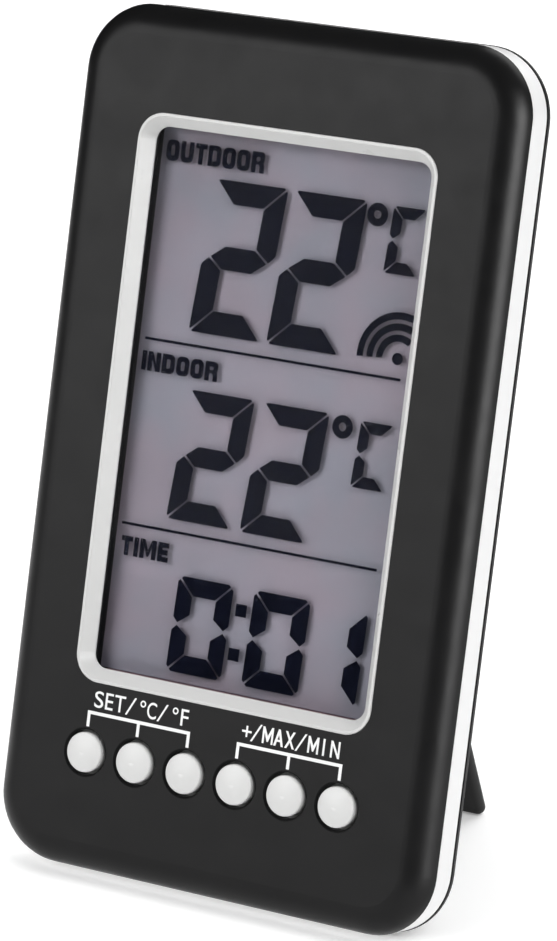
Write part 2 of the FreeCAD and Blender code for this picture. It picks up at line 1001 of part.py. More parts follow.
def lcd_frame():
    """The tray that holds the glass and the two contact strips on the circuit board."""
    body = new_body("lcd_frame")

    def ring(outer, inner):
        def draw(sketch):
            draw_round_box(sketch, *glass_tray(outer), "glass_corner")
            draw_round_box(sketch, *glass_tray(inner), "glass_corner")

        return draw

    pad(body, ring("frame_wall", "0"), "frame_front", "board_front - part_gap")
    pad(body, ring("frame_wall / 2", "-shelf_width"), "frame_shelf", "board_front - part_gap")

    def strip_slots(sketch):
        for middle in strip_levels():
            draw_box(
                sketch,
                "-strip_length / 2 - glass_play",
                "strip_length / 2 + glass_play",
                f"{middle} - strip_width / 2 - glass_play",
                f"{middle} + strip_width / 2 + glass_play",
            )

    pocket(body, strip_slots, "frame_shelf - weld", "board_front + weld")
    return place(body)


def contact_strips():
    """Two rubber strips that carry the display's contacts to the board."""
    strips = [
        box(
            f"ContactStrip{n}",
            ("-strip_length / 2", f"{middle} - strip_width / 2", "-board_front"),
            "strip_length",
            "strip_width",
            "board_front - glass_joint",
        )
        for n, middle in enumerate(strip_levels())
    ]
    return place(compound("contact_strips", strips))


# ---------------------------------------------------------------- groups of part primitives
def compound(name, members):
    """Separate solids of one node."""
    group = doc.addObject("Part::Compound", name)
    group.Links = members
    return group


def fused(name, members):
    """Overlapping solids made one."""
    whole = doc.addObject("Part::MultiFuse", name)
    whole.Shapes = members
    return whole


def box(name, corner, length, width, height):
    """A Part box with driven sides and its low corner at a point of the case frame."""
    solid = doc.addObject("Part::Box", name)
    drive(solid, Length=length, Width=width, Height=height)
    solid.Placement.Base = Vector(*[size(coordinate) for coordinate in corner])
    return solid


def cylinder(name, foot, radius, height, axis=Vector(0, 0, 1)):
    """A Part cylinder with a driven radius and height, its foot at a point of the case frame."""
    solid = doc.addObject("Part::Cylinder", name)
    drive(solid, Radius=radius, Height=height)
    base = Vector(*[size(coordinate) for coordinate in foot])
    solid.Placement = Placement(base, Rotation(Vector(0, 0, 1), axis))
    return solid


# ---------------------------------------------------------------- buttons
def button(n):
    """A domed cap with a flange that keeps it in the shell and a stem that works its dome."""
    body = new_body(f"{BUTTONS[n]}_button")

    def profile(sketch):
        corners = [
            ("0", "button_crown"),
            ("0", "-button_stem_back"),
            ("button_stem", "-button_stem_back"),
            ("button_stem", "-button_flange_back"),
            ("button_flange", "-button_flange_back"),
            ("button_flange", "-button_flange_front"),
            ("button_radius", "-button_flange_front"),
            ("button_radius", "button_shoulder"),
        ]
        points = [Vector(size(across), size(up), 0) for across, up in corners]
        lines = [
            sketch.addGeometry(Part.LineSegment(start, end))
            for start, end in zip(points, points[1:])
        ]
        for line, following in zip(lines, lines[1:]):
            sketch.addConstraint(Sketcher.Constraint("Coincident", line, 2, following, 1))
        for line, corner in zip(lines, corners):
            pin_point(sketch, line, 1, *corner)
        pin_point(sketch, lines[-1], 2, *corners[-1])
        rise = size("button_crown - button_shoulder")
        bend = (size("button_radius") ** 2 + rise**2) / (2 * rise)
        middle = Vector(0, size("button_crown") - bend, 0)
        half_angle = math.asin(size("button_radius") / bend)
        circle = Part.Circle(middle, Vector(0, 0, 1), bend)
        crown = sketch.addGeometry(
            Part.ArcOfCircle(circle, math.pi / 2 - half_angle, math.pi / 2)
        )
        sketch.addConstraint(Sketcher.Constraint("Coincident", crown, 1, lines[-1], 2))
        sketch.addConstraint(Sketcher.Constraint("Coincident", crown, 2, lines[0], 1))
        sketch.addConstraint(Sketcher.Constraint("PointOnObject", crown, 3, -2))

    revolve(body, profile, "XZ_Plane", "V_Axis")
    dress(
        body,
        "Fillet",
        lambda edge: in_plane(edge, "-button_shoulder"),
        Radius="button_edge_round",
    )
    return place(body, button_across(n), "-button_row")


def contact_pill(n):
    """The carbon pill under a button's rubber dome, which closes two tracks of the board."""
    pill = doc.addObject("Part::Cylinder", f"{BUTTONS[n]}_contact_pill")
    drive(pill, Radius="pill_radius", Height="pill_thick")
    return place(pill, button_across(n), "-button_row", "board_front - button_travel")


def button_mat():
    """The rubber sheet on the board, with a hollow dome under each button."""
    body = new_body("button_mat")

    def outline(sketch):
        draw_box(
            sketch,
            "-mat_half_length + button_shift",
            "mat_half_length + button_shift",
            "-mat_bottom",
            "-mat_top",
        )

    def circles(radius):
        def draw(sketch):
            for n in range(len(BUTTONS)):
                draw_circle(sketch, button_across(n), "-button_row", radius)

        return draw

    pad(body, outline, "mat_front", "board_front")
    domes = pad(body, circles("dome_radius"), "dome_front", "mat_front + join")
    drive(domes, TaperAngle="-dome_slope")
    hollow = "board_front - button_travel - pill_thick"
    pocket(body, circles("pill_radius + pill_clear"), hollow, "board_front + cut_past", rear=True)
    return place(body)


# ---------------------------------------------------------------- electronics
def main_board():
    """The circuit board, screwed to the bosses of the front shell."""
    body = new_body("main_board")
    pad(
        body,
        lambda sketch: draw_round_box(sketch, "board_half", "-board_bottom", "board_top", "board_corner"),
        "board_front",
        "board_back",
    )
    pocket(
        body,
        lambda sketch: draw_board_screws(sketch, "board_screw_shank + board_hole_play"),
        "board_front - cut_past",
        "board_back + cut_past",
    )
    return place(body)


def controller_blob():
    """The black resin drop over the controller chip."""
    disc = cylinder("ControllerDisc", ("0", "0", "0"), "blob_radius", "blob_high")
    drop = rounded("controller_blob", disc, "blob_round", lambda edge: edge.BoundBox.ZMax < 0.01)
    return place_on_board(drop, "board_back + blob_high")


def rounded(name, solid, radius, wanted):
    """A Part primitive with the closed edges that the test picks rounded off."""
    doc.recompute()
    feature = doc.addObject("Part::Fillet", name)
    feature.Base = solid
    edges = enumerate(solid.Shape.Edges, start=1)
    chosen = [n for n, edge in edges if edge.Closed and wanted(edge)]
    feature.Edges = [(n, size(radius), size(radius)) for n in chosen]
    return feature


def clock_crystal():
    """The clock's tuning-fork crystal, a small can lying on the board."""
    along = Vector(1, 0, 0)
    can = cylinder("CrystalCan", ("0", "0", "0"), "crystal_radius", "crystal_length", along)
    legs = [
        cylinder(
            f"CrystalLeg{n}",
            ("join - crystal_leg_length", f"{side} * crystal_leg_side", "0"),
            "crystal_leg",
            "crystal_leg_length",
            along,
        )
        for n, side in enumerate((-1, 1))
    ]
    return place_on_board(fused("clock_crystal", [can, *legs]), "board_back + crystal_radius")


def radio_board():
    """The small receiver board for the outdoor sensor, standing off on four pins."""
    body = new_body("radio_board")
    x, y = RADIO_MIDDLE
    outline = box_about(x, y, "radio_half", "radio_half_high")
    pad(body, lambda sketch: draw_box(sketch, *outline), "radio_front", "radio_back")

    def pin_holes(sketch):
        for across, up in radio_pin_places():
            hole = "(radio_pin / 2 + part_gap)"
            draw_box(sketch, *box_about(across, up, hole, hole))

    pocket(body, pin_holes, "radio_front - cut_past", "radio_back + cut_past")
    return place(body)


def box_about(x, y, half, half_high):
    """The four sides of a rectangle about a point."""
    return f"{x} - {half}", f"{x} + {half}", f"{y} - {half_high}", f"{y} + {half_high}"


def radio_pin_places():
    """The four pins stand in a row along the receiver board's lower edge."""
    x, y = RADIO_MIDDLE
    return [
        (f"{x} + ({n - (PIN_COUNT - 1) / 2}) * radio_pin_pitch", f"{y} - radio_half_high + radio_pin_edge")
        for n in range(PIN_COUNT)
    ]


def radio_pins():
    """Four square pins between the two boards."""
    members = [
        box(
            f"RadioPin{n}",
            (f"{across} - radio_pin / 2", f"{up} - radio_pin / 2", "-radio_back - radio_pin_tip"),
            "radio_pin",
            "radio_pin",
            "radio_back + radio_pin_tip - board_back",
        )
        for n, (across, up) in enumerate(radio_pin_places())
    ]
    return place(compound("radio_pins", members))


def radio_chip():
    """The receiver chip with its gull-wing legs."""
    low_corner = ("-chip_length / 2", "-chip_width / 2", "chip_standoff")
    members = [box("RadioChipBody", low_corner, "chip_length", "chip_width", "chip_high")]
    for n in range(CHIP_LEG_PAIRS):
        for side in (-1, 1):
            middle = f"{side} * (chip_width + chip_leg_reach) / 2"
            corner = (
                f"({n - (CHIP_LEG_PAIRS - 1) / 2}) * chip_leg_pitch - chip_leg_wide / 2",
                f"{middle} - (chip_leg_reach + join) / 2",
                "0",
            )
            leg = ("chip_leg_wide", "chip_leg_reach + join", "chip_leg_thick")
            members.append(box(f"RadioLeg{n}_{side + 1}", corner, *leg))
    chip = fused("radio_chip", members)
    flip = Rotation(Vector(1, 0, 0), 180)
    return place_on_board(chip, "radio_back", flip)


def radio_crystal():
    """The receiver's crystal in its oval can."""
    body = new_body("radio_crystal")

    def outline(sketch):
        draw_round_box(sketch, "oval_half", "-oval_half_high", "oval_half_high", "oval_corner")

    pad(body, outline, "0", "oval_deep")
    return place_on_board(body, "radio_back")


def coil(name, pitch, height, radius, wire, cone=0):
    """A coil of round wire about the z axis, its ends cut square."""
    path = Part.makeHelix(pitch, height, radius, cone)
    start = path.Edges[0].valueAt(path.Edges[0].FirstParameter)
    along = path.Edges[0].tangentAt(path.Edges[0].FirstParameter)
    section = Part.Wire([Part.makeCircle(wire, start, along)])
    solid = Part.Wire(path.Edges).makePipeShell([section], True, True)
    feature = doc.addObject("Part::Feature", name)
    feature.Shape = solid
    return feature


def antenna_coil():
    """The receiver's aerial, a quarter wave of wire wound into a coil, with its foot."""
    shape = [size(name) for name in ("aerial_pitch", "aerial_length", "aerial_radius", "aerial_wire")]
    winding = coil("AntennaWinding", *shape)
    winding.Placement = Placement(Vector(0, 0, 0), Rotation(Vector(0, 1, 0), 90))
    corner = ("0", "0", "-aerial_radius")
    foot = cylinder("AntennaFoot", corner, "aerial_wire", "aerial_foot", Vector(-1, 0, 0))
    high = "radio_back + aerial_radius + aerial_wire + aerial_clear"
    return place_on_board(fused("antenna_coil", [winding, foot]), high)


def thermistor():
    """The indoor sensor: a resin bead on two leads, held off the board by the vents."""
    bead = doc.addObject("Part::Sphere", "ThermistorBead")
    drive(bead, Radius="bead_radius")
    legs = [
        cylinder(f"ThermistorLeg{n}", (f"{side} * bead_leg_side", "0", "0"), "bead_leg", "bead_high")
        for n, side in enumerate((-1, 1))
    ]
    return place_on_board(fused("thermistor", [bead, *legs]), "board_back + bead_high")


def reservoir_capacitor():
    """The electrolytic can that carries the display through a battery dip."""
    can = cylinder("CapacitorCan", ("0", "0", "0"), "capacitor_radius", "capacitor_high")
    capped = rounded("reservoir_capacitor", can, "capacitor_round", lambda edge: True)
    return place_on_board(capped, "board_back + capacitor_high")


RESISTOR_PLACES = [(2, -16), (2, -20), (2, -28), (2, -32), (21, -22), (21, -26), (21, -30), (12, -36)]


def chip_resistors():
    """The small parts on the back of the board."""
    members = [
        box(
            f"ChipResistor{n}",
            (f"{x}", f"{y}", "-(board_back + resistor_high)"),
            "resistor_length",
            "resistor_width",
            "resistor_high",
        )
        for n, (x, y) in enumerate(RESISTOR_PLACES)
    ]
    return place(compound("chip_resistors", members))


# ---------------------------------------------------------------- screws
def screw(name, head_radius, shank_radius, seat, tip, x, y):
    """One pan-head screw driven from the back: head behind the seat, shank towards the front."""
    head = cylinder(f"{name}Head", (x, y, f"-({seat}) - head_high"), head_radius, "head_high")
    shank_foot = (x, y, f"-({seat}) - join")
    shank = cylinder(f"{name}Shank", shank_foot, shank_radius, f"({seat}) - ({tip}) + join")
    body = fused(f"{name}Blank", [head, shank])
    slots = []
    for n, (long, wide) in enumerate([("cross_long", "cross_wide"), ("cross_wide", "cross_long")]):
        corner = (f"{x} - {long} / 2", f"{y} - {wide} / 2", f"-({seat}) - head_high - join")
        slots.append(box(f"{name}Slot{n}", corner, long, wide, "cross_deep + join"))
    finished = doc.addObject("Part::Cut", name)
    finished.Base = body
    finished.Tool = fused(f"{name}Cross", slots)
    return finished


def case_screws():
    """The four screws that close the case from the back."""
    members = [
        screw(
            f"CaseScrew{n}",
            "case_screw_head",
            "case_screw_shank",
            "case_screw_seat",
            "case_screw_tip",
            f"{side} * case_screw_side",
            f"{level} * case_screw_level",
        )
        for n, (side, level) in enumerate(CASE_SCREWS)
    ]
    return place(compound("case_screws", members))


def board_screws():
    """The four screws that hold the circuit board and, through it, the display."""
    spots = [
        (f"{side} * {reach}", level)
        for side in (-1, 1)
        for reach, level in (
            ("board_screw_side", "board_screw_level"),
            ("board_screw_low_side", "-board_screw_low_level"),
        )
    ]
    members = [
        screw(
            f"BoardScrew{n}",
            "board_screw_head",
            "board_screw_shank",
            "board_back",
            "board_screw_tip",
            x,
            y,
        )
        for n, (x, y) in enumerate(spots)
    ]
    return place(compound("board_screws", members))


# ---------------------------------------------------------------- batteries
CELL_END = "(bay_half - contact_thick - contact_dimple)"


def battery_cell(name, side):
    """A micro cell along x, its nub towards the side given."""
    body = new_body(name)

    def profile(sketch):
        draw_polygon(
            sketch,
            [
                ("0", "0"),
                ("0", "cell_radius - cell_crimp"),
                ("cell_crimp_step", "cell_radius - cell_crimp"),
                ("cell_crimp_step", "cell_radius"),
                ("cell_length - cell_nub", "cell_radius"),
                ("cell_length - cell_nub", "cell_nub_radius"),
                ("cell_length", "cell_nub_radius"),
                ("cell_length", "0"),
            ],
        )

    revolve(body, profile, "XY_Plane", "H_Axis")

    def rims(edge):
        return edge.Closed and edge.BoundBox.YLength > 2 * size("cell_radius") - 0.1

    dress(body, "Fillet", rims, Radius="cell_round")
    turn = Rotation(Vector(0, 0, 1), 0 if side > 0 else 180)
    start = f"{side} * ({CELL_END} - cell_length)"
    return place(body, start, f"bay_level + {side} * cell_spacing / 2", "cell_depth", turn)


def contact_spring(name, side, level):
    """A cone of wire from the contact plate at one end of the bay to a cell's flat end."""
    wire = size("spring_wire")
    sink = size("spring_sink")
    height = size(f"bay_half - contact_thick - (cell_length - {CELL_END})") - 2 * wire - sink
    cone = -size("spring_cone")
    winding = coil(name, height / size("spring_turns"), height, size("spring_radius"), wire, cone)
    turn = Rotation(Vector(0, 1, 0), -90 * side)
    start = side * (size("bay_half - contact_thick") - wire + sink)
    winding.Placement = Placement(Vector(start, size(level), -size("cell_depth")), turn)
    return winding


def contact_plate(name, side, low, high):
    """A flat plate against one end of the bay, behind the cells from one level to another."""
    left = "bay_half - contact_thick" if side > 0 else "-bay_half"
    corner = (left, f"{low} - contact_reach", "-contact_back")
    width = f"{high} - ({low}) + 2 * contact_reach"
    return box(f"{name}Plate", corner, "contact_thick", width, "contact_deep")


def contact_dimple(name, side, level):
    """The raised round in a plate that meets a cell's nub."""
    foot = (f"{side} * (bay_half - contact_thick + join)", level, "-cell_depth")
    return cylinder(name, foot, "contact_dimple_radius", "contact_dimple + join", Vector(-side, 0, 0))


UPPER = "bay_level + cell_spacing / 2"
LOWER = "bay_level - cell_spacing / 2"


def battery_link_contact():
    """The plate that joins the two cells at the left: a spring above, a raised round below."""
    plate = contact_plate("Link", -1, LOWER, UPPER)
    dimple = contact_dimple("LinkDimple", -1, LOWER)
    spring = contact_spring("LinkSpring", -1, UPPER)
    return place(fused("battery_link_contact", [plate, dimple, spring]))


def battery_positive_contact():
    """The plate at the upper right, which takes the cell's nub."""
    plate = contact_plate("Positive", 1, UPPER, UPPER)
    dimple = contact_dimple("PositiveDimple", 1, UPPER)
    return place(fused("battery_positive_contact", [plate, dimple]))


def battery_negative_contact():
    """The plate and spring at the lower right, which press on the cell's flat end."""
    plate = contact_plate("Negative", 1, LOWER, LOWER)
    spring = contact_spring("NegativeSpring", 1, LOWER)
    return place(fused("battery_negative_contact", [plate, spring]))


def battery_door():
    """The lid of the battery bay: two hooks at its lower edge and a latch tab at its upper one."""
    body = new_body("battery_door")
    low = "bay_level - door_half_wide"
    high = "bay_level + door_half_wide"
    pad(
        body,
        lambda sketch: draw_round_box(sketch, "door_half", low, high, "door_corner"),
        "housing_back - door_thick",
        "housing_back",
    )

    def hooks(start, end):
        def draw(sketch):
            for side in (-1, 1):
                middle = f"{side} * hook_side"
                draw_box(sketch, f"{middle} - hook_half", f"{middle} + hook_half", start, end)

        return draw

    root = "bay_level - bay_half_wide"
    tongue_front = "housing_back - hook_deep"
    pad(
        body,
        hooks(f"{low} - hook_tip", f"{root} + hook_root"),
        tongue_front,
        f"{tongue_front} + hook_thick",
    )
    pad(
        body,
        hooks(f"{root} + catch_clear", f"{root} + hook_root"),
        tongue_front,
        "housing_back - door_thick + join",
    )

    def latch_gap(sketch):
        for side in (-1, 1):
            middle = (f"{side} * (latch_half + latch_slit)", f"{high} - (latch_length - cut_past) / 2")
            draw_box(sketch, *box_about(*middle, "latch_slit / 2", "(latch_length + cut_past) / 2"))

    pocket(body, latch_gap, "housing_back - door_thick - cut_past", "housing_back + cut_past", rear=True)
    nose = "latch_half - latch_nose_inset"
    pad(
        body,
        lambda sketch: draw_box(
            sketch, f"-({nose})", nose, f"{high} - weld", f"{high} + door_play + latch_reach"
        ),
        "housing_back - door_thick + latch_nose_front",
        "housing_back - door_thick + latch_nose_back",
    )

    def thumb_grooves(sketch):
        for n in range(GROOVE_COUNT):
            bottom = f"{high} - groove_start - {n} * groove_pitch"
            grip = "latch_half - groove_inset"
            draw_box(sketch, f"-({grip})", grip, bottom, f"{bottom} + groove_pitch / 2")

    pocket(body, thumb_grooves, "housing_back - groove_deep", "housing_back + cut_past", rear=True)
    return place(body)


# ---------------------------------------------------------------- stand
def kickstand():
    """The folding stand, drawn folded about its hinge axis: x along the hinge, foot at -y."""
    body = new_body("kickstand")
    foot = f"{stand_length()}"
    # the heel meets the recess's floor when the stand is fully open, which stops it there
    gap = size("stand_hinge_depth - stand_recess_floor - heel_play")
    open_angle = math.radians(size("stand_open"))
    heel = (gap - size("stand_inner") * math.cos(open_angle)) / math.sin(open_angle)
    pad(
        body,
        lambda sketch: draw_round_box(sketch, "stand_half", f"-({foot})", f"{heel}", "stand_corner"),
        "-stand_inner",
        "stand_outer",
    )

    def square_heel(sketch):
        draw_box(sketch, "-stand_half", "stand_half", "-stand_square", f"{heel}")

    pad(body, square_heel, "-stand_inner", "stand_outer")

    def toe_edges(edge):
        return flat(edge) and edge.BoundBox.YMax < -stand_length() + 0.01

    dress(body, "Fillet", toe_edges, Radius="(stand_outer + stand_inner) / 2 - heel_play")

    def panel(sketch):
        draw_round_box(
            sketch,
            "stand_half - stand_rib_border",
            f"-({foot}) + stand_rib_border + panel_inset",
            "-stand_rib_border - panel_inset",
            "panel_corner",
        )

    pocket(body, panel, "-stand_inner - cut_past", "-stand_inner + stand_panel")

    def ribs(sketch):
        for n in (-1, 0, 1):
            draw_box(
                sketch,
                f"{n} * rib_pitch - rib_half",
                f"{n} * rib_pitch + rib_half",
                f"-({foot}) + stand_rib_border + panel_inset - weld",
                "-stand_rib_border - panel_inset + weld",
            )

    pad(body, ribs, "-stand_inner", "-stand_inner + stand_panel + join")
    stubs = new_sketch(body, "YZ_Plane")
    draw_circle(stubs, "0", "0", "stand_pin")
    feature = body.newObject("PartDesign::Pad", "kickstandStubPad")
    feature.Profile = stubs
    feature.Midplane = True
    drive(feature, Length="(stand_half + stand_side_play + stand_pin_reach - stub_end_play) * 2")
    turn = Rotation(Vector(1, 0, 0), size("stand_open"))
    return place(body, "0", "-stand_hinge_level", "stand_hinge_depth", turn)


# ---------------------------------------------------------------- assembly
front_shell()
side_band()
rear_cover()
display_bezel()
display_window()
display_layer("lcd_front_film", "film_front", "glass_front", "film_margin", "film_margin")
display_layer("lcd_front_glass", "glass_front", "glass_joint", "glass_margin", "glass_reach")
display_layer("lcd_rear_glass", "glass_joint", "glass_back", "glass_margin", "rear_reach")
display_layer("lcd_reflector", "glass_back", "film_back", "film_margin", "rear_reach")
lcd_frame()
contact_strips()
main_board()
controller_blob()
clock_crystal()
radio_board()
radio_pins()
radio_chip()
radio_crystal()
antenna_coil()
thermistor()
reservoir_capacitor()
chip_resistors()
button_mat()
for number in range(len(BUTTONS)):
    button(number)
    contact_pill(number)
board_screws()
case_screws()
battery_cell("upper_cell", 1)
battery_cell("lower_cell", -1)
battery_link_contact()
battery_positive_contact()
battery_negative_contact()
battery_door()
kickstand()
doc.recompute()

for feature in doc.Objects:
    if "Invalid" in feature.State or "Error" in feature.State:
        raise RuntimeError(f"{feature.Label} failed: {feature.State}")

os.makedirs("parts", exist_ok=True)
for piece in pieces:
    shape = piece.Shape
    if shape.isNull() or not shape.isValid():
        raise RuntimeError(f"{piece.Label} has no valid shape")
    shape.exportStep(f"parts/{piece.Label}.step")
    print(f"{piece.Label}: {len(shape.Solids)} solid(s), {shape.Volume:.1f} mm3")
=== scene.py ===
import json
import math

import bmesh
import bpy
from mathutils import Matrix, Vector


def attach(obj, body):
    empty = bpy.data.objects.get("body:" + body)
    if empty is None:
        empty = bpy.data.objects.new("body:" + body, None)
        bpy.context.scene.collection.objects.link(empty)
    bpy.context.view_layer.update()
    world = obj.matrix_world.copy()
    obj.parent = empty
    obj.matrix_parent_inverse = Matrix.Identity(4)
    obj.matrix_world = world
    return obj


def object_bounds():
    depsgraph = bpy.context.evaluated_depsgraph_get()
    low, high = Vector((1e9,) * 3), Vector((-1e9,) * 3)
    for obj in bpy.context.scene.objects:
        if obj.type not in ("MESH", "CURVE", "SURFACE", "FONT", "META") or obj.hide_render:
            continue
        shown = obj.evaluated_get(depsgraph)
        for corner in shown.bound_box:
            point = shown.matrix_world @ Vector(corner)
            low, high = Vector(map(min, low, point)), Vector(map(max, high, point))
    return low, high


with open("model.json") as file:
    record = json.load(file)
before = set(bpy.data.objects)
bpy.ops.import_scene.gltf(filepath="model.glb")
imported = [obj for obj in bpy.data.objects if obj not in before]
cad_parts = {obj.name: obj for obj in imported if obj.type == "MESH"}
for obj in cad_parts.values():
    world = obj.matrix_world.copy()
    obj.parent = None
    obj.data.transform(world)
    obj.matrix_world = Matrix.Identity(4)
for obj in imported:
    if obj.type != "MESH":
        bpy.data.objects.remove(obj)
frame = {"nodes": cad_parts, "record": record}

cad_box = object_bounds()
MM = 0.001

# The case's own axes: x to the right, y up its face, z out of its face, with the origin in the
# middle of its front. They follow from the keyhole's place, which the record gives.
HOOK_UP, HOOK_DEEP = 40.2 * MM, 20.1 * MM
hook = next(mount for mount in frame["record"]["mounts"] if mount["name"] == "wall_hook_hole")
rear = Vector(hook["axis"]).normalized()
up = Vector((0, -rear.z, rear.y))
face_middle = Vector(hook["pos_m"]) - up * HOOK_UP - rear * HOOK_DEEP
CASE = Matrix.Translation(face_middle) @ Matrix((Vector((1, 0, 0)), up, -rear)).transposed().to_4x4()


# ---------------------------------------------------------------- materials
class Nodes:
    """A material's node tree, with short calls for the nodes that this script uses."""

    def __init__(self, name):
        self.material = bpy.data.materials.new(name)
        self.material.use_nodes = True
        self.tree = self.material.node_tree
        self.shader = self.tree.nodes["Principled BSDF"]
        self.output = self.tree.nodes["Material Output"]
        self.place = self.tree.nodes.new("ShaderNodeTexCoord").outputs["Object"]

    def link(self, source, target):
        self.tree.links.new(source, target)

    def noise(self, size, detail=3.0, rough=0.55, stretch=None):
        """Noise whose features are about size metres across, 0 to 1."""
        node = self.tree.nodes.new("ShaderNodeTexNoise")
        node.inputs["Scale"].default_value = 1 / size
        node.inputs["Detail"].default_value = detail
        node.inputs["Roughness"].default_value = rough
        place = self.place
        if stretch:
            mapping = self.tree.nodes.new("ShaderNodeMapping")
            mapping.inputs["Scale"].default_value = stretch
            self.link(place, mapping.inputs["Vector"])
            place = mapping.outputs["Vector"]
        self.link(place, node.inputs["Vector"])
        return node.outputs["Fac"]

    def cells(self, size, feature="F1"):
        """Distance to the nearest point of a random pattern, size metres apart."""
        node = self.tree.nodes.new("ShaderNodeTexVoronoi")
        node.feature = feature
        node.inputs["Scale"].default_value = 1 / size
        self.link(self.place, node.inputs["Vector"])
        return node.outputs["Distance"]

    def ramp(self, value, low, high, start=0.0, end=1.0):
        """The value's range low to high carried to start to end."""
        node = self.tree.nodes.new("ShaderNodeMapRange")
        node.inputs["From Min"].default_value = low
        node.inputs["From Max"].default_value = high
        node.inputs["To Min"].default_value = start
        node.inputs["To Max"].default_value = end
        self.link(value, node.inputs["Value"])
        return node.outputs["Result"]

    def blend(self, value, first, second):
        """A colour between two, by a value from 0 to 1."""
        node = self.tree.nodes.new("ShaderNodeMix")
        node.data_type = "RGBA"
        self.link(value, node.inputs["Factor"])
        for socket, colour in (("A", first), ("B", second)):
            target = next(s for s in node.inputs if s.name == socket and s.type == "RGBA")
            if isinstance(colour, bpy.types.NodeSocket):
                self.link(colour, target)
            else:
                target.default_value = (*colour, 1)
        return next(s for s in node.outputs if s.type == "RGBA")

    def bump(self, height, depth, before=None):
        """A normal that stands for a relief of depth metres."""
        node = self.tree.nodes.new("ShaderNodeBump")
        node.inputs["Distance"].default_value = depth
        self.link(height, node.inputs["Height"])
        if before is not None:
            self.link(before, node.inputs["Normal"])
        return node.outputs["Normal"]


def shade(colour, factor):
    """A colour made lighter or darker."""
    return tuple(min(1.0, channel * factor) for channel in colour)


def moulded(name, colour, rough, grain, depth, mottle=0.05, sink=0.15e-3, **plain):
    """Moulded plastic or rubber: a fine grain, slow changes of tone and gloss, and faint sink."""
    nodes = Nodes(name)
    slow = nodes.ramp(nodes.noise(18 * MM, 2.0), 0.35, 0.65)
    nodes.link(
        nodes.blend(slow, shade(colour, 1 - mottle), shade(colour, 1 + mottle)),
        nodes.shader.inputs["Base Color"],
    )
    fine = nodes.noise(grain, 4.0, 0.6)
    patchy = nodes.noise(6 * MM, 4.0, 0.6)
    nodes.link(nodes.ramp(patchy, 0.3, 0.7, rough * 0.88, rough * 1.12), nodes.shader.inputs["Roughness"])
    wavy = nodes.bump(nodes.noise(9 * MM, 1.0), sink)
    nodes.link(nodes.bump(fine, depth, wavy), nodes.shader.inputs["Normal"])
    for socket, value in plain.items():
        nodes.shader.inputs[socket.replace("_", " ")].default_value = value
    return nodes.material


def metal(name, colour, rough, brush=(1, 1, 1)):
    """Drawn or plated metal: fine lines one way, which also set its tone and gloss."""
    nodes = Nodes(name)
    lines = nodes.noise(0.3 * MM, 3.0, 0.6, brush)
    nodes.link(
        nodes.blend(nodes.ramp(lines, 0.3, 0.7), shade(colour, 0.85), shade(colour, 1.08)),
        nodes.shader.inputs["Base Color"],
    )
    nodes.link(nodes.ramp(lines, 0.3, 0.7, rough * 0.7, rough * 1.3), nodes.shader.inputs["Roughness"])
    nodes.link(nodes.bump(lines, 0.01 * MM), nodes.shader.inputs["Normal"])
    nodes.shader.inputs["Metallic"].default_value = 1.0
    return nodes.material


WINDOW_INDEX = 1.07


def clear(name, tint, mirror_rough=None):
    """A clear sheet: it passes light with a faint uneven tint, and mirrors a little if asked to."""
    nodes = Nodes(name)
    nodes.tree.nodes.remove(nodes.shader)
    through = nodes.tree.nodes.new("ShaderNodeBsdfTransparent")
    nodes.link(
        nodes.blend(nodes.ramp(nodes.noise(12 * MM, 2.0), 0.3, 0.7), shade(tint, 0.99), tint),
        through.inputs["Color"],
    )
    if mirror_rough is None:
        nodes.link(through.outputs["BSDF"], nodes.output.inputs["Surface"])
        return nodes.material
    mirror = nodes.tree.nodes.new("ShaderNodeBsdfGlossy")
    nodes.link(
        nodes.ramp(nodes.noise(4 * MM, 4.0), 0.3, 0.7, mirror_rough * 0.7, mirror_rough * 1.3),
        mirror.inputs["Roughness"],
    )
    share = nodes.tree.nodes.new("ShaderNodeFresnel")
    share.inputs["IOR"].default_value = WINDOW_INDEX
    mix = nodes.tree.nodes.new("ShaderNodeMixShader")
    nodes.link(share.outputs["Fac"], mix.inputs["Fac"])
    nodes.link(through.outputs["BSDF"], mix.inputs[1])
    nodes.link(mirror.outputs["BSDF"], mix.inputs[2])
    nodes.link(mix.outputs["Shader"], nodes.output.inputs["Surface"])
    return nodes.material


def reflector():
    """The display's grey backing: a pearly film whose tone wanders between blue and violet."""
    nodes = Nodes("pearl_reflector")
    slow = nodes.ramp(nodes.noise(14 * MM, 2.0), 0.38, 0.62)
    tone = nodes.blend(slow, (0.31, 0.308, 0.363), (0.35, 0.308, 0.363))
    pearl = nodes.ramp(nodes.noise(0.12 * MM, 2.0), 0.3, 0.7)
    mix = nodes.tree.nodes.new("ShaderNodeMix")
    mix.data_type = "RGBA"
    mix.blend_type = "MULTIPLY"
    mix.inputs["Factor"].default_value = 1.0
    colours = [s for s in mix.inputs if s.type == "RGBA"]
    nodes.link(tone, colours[0])
    nodes.link(nodes.blend(pearl, (0.92, 0.92, 0.92), (1, 1, 1)), colours[1])
    nodes.link(next(s for s in mix.outputs if s.type == "RGBA"), nodes.shader.inputs["Base Color"])
    nodes.link(nodes.ramp(pearl, 0, 1, 0.5, 0.65), nodes.shader.inputs["Roughness"])
    nodes.shader.inputs["Specular IOR Level"].default_value = 0.2
    return nodes.material


